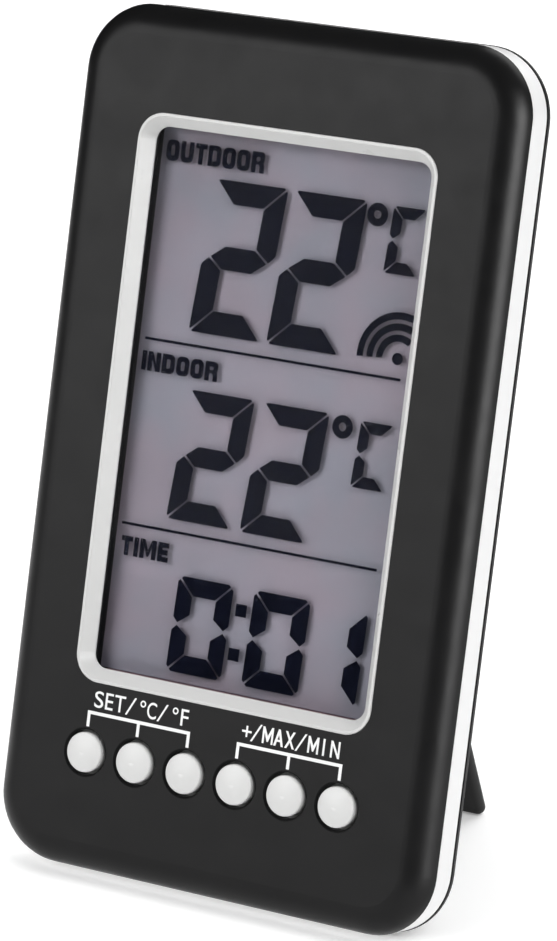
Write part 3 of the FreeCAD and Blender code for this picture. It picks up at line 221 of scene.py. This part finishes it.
def board():
    """A green circuit board: mask over a faint pattern of tracks."""
    nodes = Nodes("circuit_board")
    tracks = nodes.ramp(nodes.cells(2.4 * MM, "DISTANCE_TO_EDGE"), 0.08, 0.12)
    tone = nodes.blend(nodes.ramp(nodes.noise(8 * MM), 0.3, 0.7), (0.012, 0.085, 0.03), (0.02, 0.11, 0.04))
    nodes.link(nodes.blend(tracks, (0.03, 0.16, 0.06), tone), nodes.shader.inputs["Base Color"])
    nodes.link(nodes.ramp(nodes.noise(1 * MM), 0.3, 0.7, 0.25, 0.4), nodes.shader.inputs["Roughness"])
    nodes.link(nodes.bump(tracks, -0.03 * MM), nodes.shader.inputs["Normal"])
    return nodes.material


BLACK = moulded(
    "shell_black_plastic",
    (0.0055, 0.0055, 0.0057),
    0.36,
    0.16 * MM,
    0.012 * MM,
    0.06,
    Specular_IOR_Level=0.15,
)
REAR_BLACK = moulded(
    "rear_black_plastic", (0.008, 0.008, 0.0082), 0.5, 0.3 * MM, 0.03 * MM, 0.08, Specular_IOR_Level=0.25
)
WHITE_BAND = moulded(
    "band_white_plastic",
    (0.81, 0.81, 0.81),
    0.22,
    0.3 * MM,
    0.002 * MM,
    0.01,
    0.03e-3,
    Specular_IOR_Level=0.15,
)
WHITE_BEZEL = moulded(
    "bezel_white_plastic",
    (0.55, 0.55, 0.545),
    0.3,
    0.2 * MM,
    0.004 * MM,
    0.01,
    0.03e-3,
    Specular_IOR_Level=0.2,
)
WHITE_BUTTON = moulded(
    "button_white_plastic",
    (0.6, 0.6, 0.595),
    0.32,
    0.2 * MM,
    0.004 * MM,
    0.01,
    0.02e-3,
    Specular_IOR_Level=0.2,
)
RESIN = moulded("black_resin", (0.012, 0.012, 0.013), 0.25, 0.5 * MM, 0.03 * MM)
FRAME = moulded("frame_plastic", (0.03, 0.03, 0.032), 0.5, 0.2 * MM, 0.01 * MM)
SILICONE = moulded("grey_silicone", (0.42, 0.42, 0.43), 0.6, 0.3 * MM, 0.01 * MM)
STRIP = moulded("strip_silicone", (0.5, 0.32, 0.36), 0.6, 0.1 * MM, 0.01 * MM)
CARBON = moulded("carbon_rubber", (0.015, 0.015, 0.016), 0.6, 0.2 * MM, 0.01 * MM)
CHIP = moulded("chip_ceramic", (0.02, 0.02, 0.022), 0.45, 0.15 * MM, 0.01 * MM)
CELL = moulded("cell_sleeve", (0.03, 0.09, 0.05), 0.28, 0.4 * MM, 0.004 * MM)
SLEEVE = moulded("capacitor_sleeve", (0.012, 0.014, 0.03), 0.3, 0.4 * MM, 0.004 * MM)
BEAD = moulded("bead_resin", (0.02, 0.02, 0.06), 0.25, 0.4 * MM, 0.01 * MM)
STEEL = metal("plated_steel", (0.62, 0.62, 0.64), 0.3, (1, 8, 1))
NICKEL = metal("plated_nickel", (0.68, 0.66, 0.62), 0.22, (1, 1, 6))
COPPER = metal("enamelled_copper", (0.72, 0.34, 0.16), 0.28)
BRASS = metal("gilt_pin", (0.8, 0.62, 0.28), 0.25)
WINDOW = clear("clear_window", (0.985, 0.985, 0.985), 0.05)
FILM = clear("polarising_film", (0.985, 0.985, 0.99))
GLASS = clear("display_glass", (0.99, 0.99, 0.99))
INK = moulded("segment_ink", (0.006, 0.007, 0.014), 0.6, 0.1 * MM, 0.002 * MM, Specular_IOR_Level=0.0)
PRINT = moulded("legend_print", (0.8, 0.8, 0.8), 0.5, 0.1 * MM, 0.004 * MM, Specular_IOR_Level=0.2)

finishes = {
    "shell_black": BLACK,
    "band_white": WHITE_BAND,
    "bezel_white": WHITE_BEZEL,
    "button_white": WHITE_BUTTON,
    "window_clear": WINDOW,
    "lcd_film": FILM,
    "lcd_glass": GLASS,
    "lcd_reflector": reflector(),
    "frame_grey": FRAME,
    "strip_rubber": STRIP,
    "board_green": board(),
    "resin_black": RESIN,
    "can_steel": STEEL,
    "pin_brass": BRASS,
    "aerial_copper": COPPER,
    "bead_resin": BEAD,
    "sleeve_black": SLEEVE,
    "chip_ceramic": CHIP,
    "mat_rubber": SILICONE,
    "pill_carbon": CARBON,
    "screw_steel": STEEL,
    "cell_sleeve": CELL,
    "contact_nickel": NICKEL,
}
REAR_PIECES = ("rear_cover", "battery_door", "kickstand")
for subpart in frame["record"]["subparts"]:
    node = frame["nodes"][subpart["node"]]
    node.data.materials.clear()
    rear = subpart["node"] in REAR_PIECES
    node.data.materials.append(REAR_BLACK if rear else finishes[subpart["material_slot"]])


# ---------------------------------------------------------------- flat shapes on the case's face
def inset(points, gap):
    """A convex outline, given anticlockwise, drawn in by a gap."""
    lines = []
    for n, start in enumerate(points):
        along = (points[(n + 1) % len(points)] - start).normalized()
        lines.append((start + Vector((-along.y, along.x)) * gap, along))
    corners = []
    for n, (start, along) in enumerate(lines):
        before, direction = lines[n - 1]
        corners.append(before + direction * ((start - before).cross(along) / direction.cross(along)))
    return corners


def bars(width, height, bar, cut, tip):
    """The seven bars of a digit, mitred at its corners and pointed at its middle."""
    middle, half = height / 2, bar / 2
    top = [
        (cut, height),
        (cut / 2, height - cut / 2),
        (bar, height - bar),
        (width - bar, height - bar),
        (width - cut / 2, height - cut / 2),
        (width - cut, height),
    ]
    upper_right = [
        (width, height - cut),
        (width - cut / 2, height - cut / 2),
        (width - bar, height - bar),
        (width - bar, middle + half),
        (width - tip, middle),
        (width, middle + tip),
    ]
    across = [
        (tip, middle),
        (bar, middle - half),
        (width - bar, middle - half),
        (width - tip, middle),
        (width - bar, middle + half),
        (bar, middle + half),
    ]

    def mirrored(points, flip_x, flip_y):
        moved = [(width - x if flip_x else x, height - y if flip_y else y) for x, y in points]
        return moved[::-1] if flip_x != flip_y else moved

    return {
        "a": top,
        "b": upper_right,
        "c": mirrored(upper_right, False, True),
        "d": mirrored(top, False, True),
        "e": mirrored(upper_right, True, True),
        "f": mirrored(upper_right, True, False),
        "g": across,
    }


def digit(shown, left, low, width, height, bar, slant, cut, tip, gap=0.14):
    """Outlines of the bars shown, in millimetres, with the digit's low left corner at a point."""
    outlines = []
    for name, points in bars(width, height, bar, cut, tip).items():
        if name in shown:
            corners = inset([Vector(point) for point in points], gap)
            outlines.append([(left + x + slant * y, low + y) for x, y in corners])
    return outlines


def circle(x, y, radius, count=40):
    """A round outline."""
    turn = 2 * math.pi / count
    return [(x + radius * math.cos(n * turn), y + radius * math.sin(n * turn)) for n in range(count)]


def arc_band(x, y, radius, wide, start, end, count=28):
    """Part of a ring."""
    angles = [math.radians(start + (end - start) * n / count) for n in range(count + 1)]
    outer = [(x + radius * math.cos(a), y + radius * math.sin(a)) for a in angles]
    inner = [(x + (radius - wide) * math.cos(a), y + (radius - wide) * math.sin(a)) for a in angles]
    return outer + inner[::-1]


def rectangle(left, right, low, high):
    """A box outline."""
    return [(left, low), (right, low), (right, high), (left, high)]


def flat_mesh(name, outlines, depth, thick):
    """Prisms over the outlines; an outline inside another is a hole in it."""
    curve = bpy.data.curves.new(name, "CURVE")
    curve.dimensions = "2D"
    curve.fill_mode = "BOTH"
    curve.extrude = thick / 2
    for outline in outlines:
        spline = curve.splines.new("POLY")
        spline.points.add(len(outline) - 1)
        for point, (x, y) in zip(spline.points, outline):
            point.co = (x, y, 0, 1)
        spline.use_cyclic_u = True
    return settle(name, curve, Matrix.Translation((0, 0, -depth - thick / 2)))


def letters(name, text, left, low, width, height, depth, thick, bold):
    """Plain lettering in Blender's own sans face, fitted into a box on the case's face."""
    curve = bpy.data.curves.new(name, "FONT")
    curve.body = text
    curve.offset = bold
    curve.resolution_u = 6
    curve.extrude = thick / 2
    holder = bpy.data.objects.new(name, curve)
    mesh = bpy.data.meshes.new_from_object(holder)
    xs = [vertex.co.x for vertex in mesh.vertices]
    ys = [vertex.co.y for vertex in mesh.vertices]
    fit = Matrix.Diagonal((width / (max(xs) - min(xs)), height / (max(ys) - min(ys)), 1, 1))
    move = Matrix.Translation((left, low, -depth - thick / 2))
    start = Matrix.Translation((-min(xs), -min(ys), 0))
    mesh.transform(move @ fit @ start)
    bpy.data.objects.remove(holder)
    return mesh


def settle(name, curve, matrix):
    """A curve turned into a mesh and moved."""
    holder = bpy.data.objects.new(name, curve)
    mesh = bpy.data.meshes.new_from_object(holder)
    mesh.transform(matrix)
    bpy.data.objects.remove(holder)
    return mesh


def add_piece(name, meshes, material):
    """One piece of the case from meshes in the case's own millimetres."""
    joined = bmesh.new()
    for mesh in meshes:
        joined.from_mesh(mesh)
    joined.transform(CASE @ Matrix.Scale(MM, 4))
    bmesh.ops.remove_doubles(joined, verts=joined.verts, dist=1e-7)
    bmesh.ops.recalc_face_normals(joined, faces=joined.faces)
    data = bpy.data.meshes.new(name)
    joined.to_mesh(data)
    joined.free()
    data.materials.append(material)
    piece = bpy.data.objects.new(name, data)
    bpy.context.scene.collection.objects.link(piece)
    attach(piece, "case")
    return piece


# ---------------------------------------------------------------- the display's marks
INK_DEEP, INK_THICK = 3.86, 0.03
TWO, ZERO, ONE, CEE = "abged", "abcdef", "bc", "adef"


def reading(name, outlines):
    """A group of the display's segments."""
    add_piece(name, [flat_mesh(name, outlines, INK_DEEP, INK_THICK)], INK)


def corner_arc(x, y, radius, start):
    """A quarter turn about a point, anticlockwise from an angle in degrees."""
    angles = [math.radians(start + 15 * n) for n in range(7)]
    return [(x + radius * math.cos(angle), y + radius * math.sin(angle)) for angle in angles]


def rounded_box(left, right, low, high, left_round, right_round):
    """A box outline, anticlockwise, with one radius for its left corners and one for its right."""
    return [
        *corner_arc(right - right_round, high - right_round, right_round, 0),
        *corner_arc(left + left_round, high - left_round, left_round, 90),
        *corner_arc(left + left_round, low + left_round, left_round, 180),
        *corner_arc(right - right_round, low + right_round, right_round, 270),
    ]


WORD_STROKE, WORD_GAP = 0.74, 0.28
OUTER_ROUND, INNER_ROUND, EDGE_ROUND, BOWL_ROUND = 0.8, 0.25, 0.05, 0.6
LETTER_WIDTHS = {"I": WORD_STROKE, "M": 2.75, "E": 1.8, "T": 1.9}
OTHER_WIDTH = 2.12


def letter(sign, high):
    """The outlines of a bold narrow capital and its width."""
    stroke = WORD_STROKE
    wide = LETTER_WIDTHS.get(sign, OTHER_WIDTH)
    inner = wide - stroke
    if sign in "OD":
        left_round = OUTER_ROUND if sign == "O" else EDGE_ROUND
        hole_round = INNER_ROUND if sign == "O" else EDGE_ROUND
        return [
            rounded_box(0, wide, 0, high, left_round, OUTER_ROUND),
            rounded_box(stroke, inner, stroke, high - stroke, hole_round, INNER_ROUND),
        ], wide
    if sign == "U":
        outside = corner_arc(OUTER_ROUND, OUTER_ROUND, OUTER_ROUND, 180)
        outside += corner_arc(wide - OUTER_ROUND, OUTER_ROUND, OUTER_ROUND, 270)
        inside = corner_arc(inner - INNER_ROUND, stroke + INNER_ROUND, INNER_ROUND, 270)[::-1]
        inside += corner_arc(stroke + INNER_ROUND, stroke + INNER_ROUND, INNER_ROUND, 180)[::-1]
        return [[(0, high), *outside, (wide, high), (inner, high), *inside, (stroke, high)]], wide
    if sign == "R":
        bowl = corner_arc(wide - BOWL_ROUND, high - BOWL_ROUND, BOWL_ROUND, 0)
        body = [(0, high), (0, 0), (stroke, 0), (stroke, 0.4 * high), (inner - 0.2, 0.4 * high)]
        leg = [(inner, 0.3 * high), (inner, 0), (wide, 0), (wide, 0.34 * high)]
        waist = [(wide - 0.2, 0.47 * high), (wide, 0.6 * high)]
        hole = rounded_box(stroke, inner, 0.57 * high, high - stroke, EDGE_ROUND, 0.15)
        return [[*body, *leg, *waist, *bowl], hole], wide
    low_bar, top_bar = 0.38 * high, 0.62 * high
    middle, half = high / 2, stroke / 2
    plain = {
        "I": [(0, 0), (wide, 0), (wide, high), (0, high)],
        "T": [
            (wide / 2 - half, 0),
            (wide / 2 + half, 0),
            (wide / 2 + half, high - stroke),
            (wide, high - stroke),
            (wide, high),
            (0, high),
            (0, high - stroke),
            (wide / 2 - half, high - stroke),
        ],
        "E": [
            (0, 0),
            (wide, 0),
            (wide, stroke),
            (stroke, stroke),
            (stroke, middle - half),
            (wide - 0.15, middle - half),
            (wide - 0.15, middle + half),
            (stroke, middle + half),
            (stroke, high - stroke),
            (wide, high - stroke),
            (wide, high),
            (0, high),
        ],
        "N": [
            (0, 0),
            (stroke, 0),
            (stroke, top_bar),
            (inner, 0),
            (wide, 0),
            (wide, high),
            (inner, high),
            (inner, low_bar),
            (stroke, high),
            (0, high),
        ],
        "M": [
            (0, 0),
            (stroke, 0),
            (stroke, top_bar),
            (wide / 2 - 0.15, 0.12 * high),
            (wide / 2 + 0.15, 0.12 * high),
            (inner, top_bar),
            (inner, 0),
            (wide, 0),
            (wide, high),
            (inner - 0.05, high),
            (wide / 2, 0.45 * high),
            (stroke + 0.05, high),
            (0, high),
        ],
    }
    return [plain[sign]], wide


def caption(name, text, left, low, high):
    """One of the display's bold narrow words."""
    outlines = []
    for sign in text:
        shapes, wide = letter(sign, high)
        outlines += [[(left + x, low + y) for x, y in shape] for shape in shapes]
        left += wide + WORD_GAP
    reading(name, outlines)


# slant, corner cut and point of the temperature's digits and of the clock's
LARGE_DIGIT = (0.078, 0.7, 1.2)
CLOCK_DIGIT = (0.03, 0.9, 0.9)
# width, height, bar, slant, corner cut, point and gap of the small C
SMALL_CEE = (5.5, 9.6, 1.85, 0.055, 0.5, 0.7, 0.1)
DEGREE_OUTER, DEGREE_INNER = 1.65, 0.6


def temperature(name, low, height, width, starts, bar, degree, cee):
    """Two digits, a degree ring and a C."""
    outlines = []
    for left in starts:
        outlines += digit(TWO, left, low, width, height, bar, *LARGE_DIGIT)
    outlines += [circle(*degree, DEGREE_OUTER), circle(*degree, DEGREE_INNER)]
    outlines += digit(CEE, *cee, *SMALL_CEE)
    reading(name, outlines)


temperature("lcd_outdoor_reading", 16.85, 22.3, 12.1, (-14.75, -1.85), 3.6, (13.6, 37.3), (15.45, 29.35))
temperature("lcd_indoor_reading", -10.15, 19.05, 11.05, (-14.75, -2.45), 3.2, (12.2, 7.2), (14.45, -1.0))
clock = []
for shown, left in ((ZERO, -11.8), (ZERO, 0.85), (ONE, 10.2)):
    clock += digit(shown, left, -31.75, 9.5, 14.1, 2.9, *CLOCK_DIGIT)
COLON_HALF = 0.9
for x, y in ((-0.45, -21.1), (-0.8, -27.5)):
    clock.append(rectangle(x - COLON_HALF, x + COLON_HALF, y - COLON_HALF, y + COLON_HALF))
reading("lcd_time_reading", clock)
# the signal mark: a dot and three waves that stop at the display's edge, to the right of the dot
SIGNAL_DOT, DOT_RADIUS = (19.5, 17.85), 0.85
SIGNAL_REACH, WAVE_WIDE, WAVE_END = 2.0, 1.0, 184
signal = [circle(*SIGNAL_DOT, DOT_RADIUS)]
for radius in (6.5, 4.95, 3.4):
    start = math.degrees(math.acos(SIGNAL_REACH / radius))
    signal.append(arc_band(*SIGNAL_DOT, radius, WAVE_WIDE, start, WAVE_END))
reading("lcd_signal_mark", signal)
RULE_HALF, RULE_RIGHT = 0.2, 20.4
rules = [
    rectangle(left, RULE_RIGHT, level - RULE_HALF, level + RULE_HALF)
    for left, level in ((-21.6, 15.0), (-21.8, -11.8))
]
reading("lcd_rules", rules)
caption("lcd_outdoor_caption", "OUTDOOR", -21.75, 40.6, 3.0)
caption("lcd_indoor_caption", "INDOOR", -21.7, 10.4, 2.8)
caption("lcd_time_caption", "TIME", -21.5, -16.4, 2.8)

# ---------------------------------------------------------------- the shell's printed legends
PRINT_DEEP, PRINT_THICK = -0.02, 0.03
BRACKET_HALF = 0.24
PRINT_BASE, BAR_LEVEL, DROP_FOOT = -38.35, -39.2, -41.3
# how far each sign's foot stands over the line and how tall it is
SIGN_RISE_HIGH = {"/": (-0.1, 2.6), "°": (1.4, 1.0), "+": (0.35, 1.6)}
CAPITAL_RISE_HIGH = (0, 2.4)
PRINT_STROKE, PRINT_BOLD = 0.3, 0.004


def straight_sign(sign, wide, high):
    """The outlines of a printed sign with straight strokes, from its low left corner; none for others."""
    stroke = PRINT_STROKE
    half, middle = wide / 2, high / 2
    foot = 1.2 * stroke
    lean = (wide - stroke) / 2 / high
    notch = high * (half - foot) / (wide - foot)
    bar_low, bar_high = 0.26 * high, 0.26 * high + stroke
    right_low, right_high = (wide - foot - lean * level for level in (bar_low, bar_high))
    shapes = {
        "/": [[(0, 0), (stroke, 0), (wide, high), (wide - stroke, high)]],
        "I": [rectangle(0, wide, 0, high)],
        "N": [
            [
                (0, 0),
                (stroke, 0),
                (stroke, 0.72 * high),
                (wide - stroke, 0),
                (wide, 0),
                (wide, high),
                (wide - stroke, high),
                (wide - stroke, 0.28 * high),
                (stroke, high),
                (0, high),
            ]
        ],
        "M": [
            [
                (0, 0),
                (stroke, 0),
                (stroke, 0.66 * high),
                (half - 0.1, 0.12 * high),
                (half + 0.1, 0.12 * high),
                (wide - stroke, 0.66 * high),
                (wide - stroke, 0),
                (wide, 0),
                (wide, high),
                (wide - stroke, high),
                (half, 0.46 * high),
                (stroke, high),
                (0, high),
            ]
        ],
        "X": [
            [
                (0, 0),
                (foot, 0),
                (half, notch),
                (wide - foot, 0),
                (wide, 0),
                (half + foot / 2, middle),
                (wide, high),
                (wide - foot, high),
                (half, high - notch),
                (foot, high),
                (0, high),
                (half - foot / 2, middle),
            ]
        ],
        "A": [
            [
                (0, 0),
                (foot, 0),
                (wide - right_low, bar_low),
                (right_low, bar_low),
                (wide - foot, 0),
                (wide, 0),
                (half + stroke / 2, high),
                (half - stroke / 2, high),
            ],
            [(wide - right_high, bar_high), (right_high, bar_high), (half, (half - foot) / lean)],
        ],
    }
    return shapes.get(sign)


def legend(name, signs, drops):
    """A line of printed signs, each a centre and a width, over a bracket that points at three buttons."""
    meshes = []
    for sign, centre, width in signs:
        rise, high = SIGN_RISE_HIGH.get(sign, CAPITAL_RISE_HIGH)
        left, foot = centre - width / 2, PRINT_BASE + rise
        shapes = straight_sign(sign, width, high)
        if shapes:
            moved = [[(left + x, foot + y) for x, y in shape] for shape in shapes]
            meshes.append(flat_mesh(name, moved, PRINT_DEEP, PRINT_THICK))
        else:
            meshes.append(letters(name, sign, left, foot, width, high, PRINT_DEEP, PRINT_THICK, PRINT_BOLD))
    top, under = BAR_LEVEL + BRACKET_HALF, BAR_LEVEL - BRACKET_HALF
    outline = [(drops[-1] + BRACKET_HALF, top), (drops[0] - BRACKET_HALF, top)]
    for drop, following in zip(drops, [*drops[1:], None]):
        outline += [(drop - BRACKET_HALF, DROP_FOOT), (drop + BRACKET_HALF, DROP_FOOT)]
        if following is not None:
            outline += [(drop + BRACKET_HALF, under), (following - BRACKET_HALF, under)]
    meshes.append(flat_mesh(name + "Bracket", [outline], PRINT_DEEP, PRINT_THICK))
    add_piece(name, meshes, PRINT)


legend(
    "legend_left",
    [
        ("S", -19.7, 1.5),
        ("E", -17.95, 1.3),
        ("T", -16.15, 1.8),
        ("/", -14.3, 1.7),
        ("°", -12.3, 0.95),
        ("C", -10.75, 1.55),
        ("/", -8.95, 1.7),
        ("°", -6.85, 0.95),
        ("F", -5.25, 1.25),
    ],
    (-21.1, -12.7, -4.3),
)
legend(
    "legend_right",
    [
        ("+", 5.1, 1.55),
        ("/", 6.65, 1.75),
        ("M", 8.55, 1.75),
        ("A", 10.35, 1.6),
        ("X", 12.15, 1.6),
        ("/", 13.95, 1.75),
        ("M", 15.95, 1.75),
        ("I", 17.65, 0.32),
        ("N", 19.5, 1.5),
    ],
    (3.95, 12.3, 20.7),
)

# ---------------------------------------------------------------- stage, light and camera
scene = bpy.context.scene
scene.view_settings.view_transform = "Standard"
scene.cycles.transparent_max_bounces = 32
low, high = cad_box
middle = (low + high) / 2

FLOOR_HALF, FLOOR_GAP = 0.7, 0.00005
floor_mesh = bpy.data.meshes.new("Floor")
floor_mesh.from_pydata(
    [
        (x * FLOOR_HALF, y * FLOOR_HALF, low.z - FLOOR_GAP)
        for x, y in ((-1, -1), (1, -1), (1, 1), (-1, 1))
    ],
    [],
    [(0, 1, 2, 3)],
)
floor = bpy.data.objects.new("Floor", floor_mesh)
scene.collection.objects.link(floor)
paper = Nodes("pale_paper")
paper.link(
    paper.blend(paper.noise(0.2, 2.0), (0.9, 0.9, 0.9), (0.93, 0.93, 0.93)),
    paper.shader.inputs["Base Color"],
)
paper.shader.inputs["Roughness"].default_value = 0.7
paper.shader.inputs["Specular IOR Level"].default_value = 0.2
paper.shader.inputs["Emission Color"].default_value = (1, 1, 1, 1)
paper.shader.inputs["Emission Strength"].default_value = 0.22
floor_mesh.materials.append(paper.material)

world = bpy.data.worlds.new("Studio")
world.use_nodes = True
sky = world.node_tree
scene.world = world
sky.nodes["Background"].inputs["Color"].default_value = (1, 1, 1, 1)
sky.nodes["Background"].inputs["Strength"].default_value = 1.0
# the pale surroundings are only seen: the lamps and the floor light the object
world.cycles_visibility.diffuse = False
world.cycles_visibility.glossy = False


def soft_light(name, direction, distance, size, power, mirrored=False):
    """A flat lamp facing the middle of the object, which either lights it or mirrors in its gloss."""
    lamp = bpy.data.lights.new(name, "AREA")
    lamp.shape = "RECTANGLE"
    lamp.size, lamp.size_y = size
    lamp.energy = power
    holder = bpy.data.objects.new(name, lamp)
    away = Vector(direction).normalized()
    holder.location = middle + away * distance
    holder.rotation_mode = "QUATERNION"
    holder.rotation_quaternion = (-away).to_track_quat("-Z", "Y")
    holder.visible_glossy = mirrored
    holder.visible_diffuse = not mirrored
    scene.collection.objects.link(holder)


soft_light("Front", (-0.5, -0.8, 0.33), 1.0, (0.8, 0.7), 2.0)
soft_light("Key", (-0.4, -0.85, 0.6), 1.0, (0.5, 0.5), 4.2)
soft_light("Right", (0.9, -0.3, 0.9), 1.0, (0.6, 0.6), 5.2)
soft_light("Top", (-0.1, 0.2, 1.0), 1.8, (2.4, 2.4), 29.0)
soft_light("Back", (0.2, 1.0, 0.6), 1.2, (0.8, 0.8), 6.0)
soft_light("FrontGloss", (-0.5, -0.8, 0.4), 0.9, (0.72, 0.6), 5.7, True)
soft_light("BackGloss", (0.2, 1.0, 0.75), 1.3, (1.1, 0.9), 9.0, True)
soft_light("SideGloss", (1.0, -0.16, 0.1), 0.75, (0.45, 0.65), 13.5, True)

camera = bpy.data.cameras.new("Camera")
camera.lens = 181.8
camera.sensor_width = 36
camera.clip_start, camera.clip_end = 0.01, 20
holder = bpy.data.objects.new("Camera", camera)
holder.location = (0.33176, -0.55213, 0.27219)
holder.rotation_euler = [math.radians(angle) for angle in (71.645, 0.513, 30.975)]
scene.collection.objects.link(holder)
scene.camera = holder
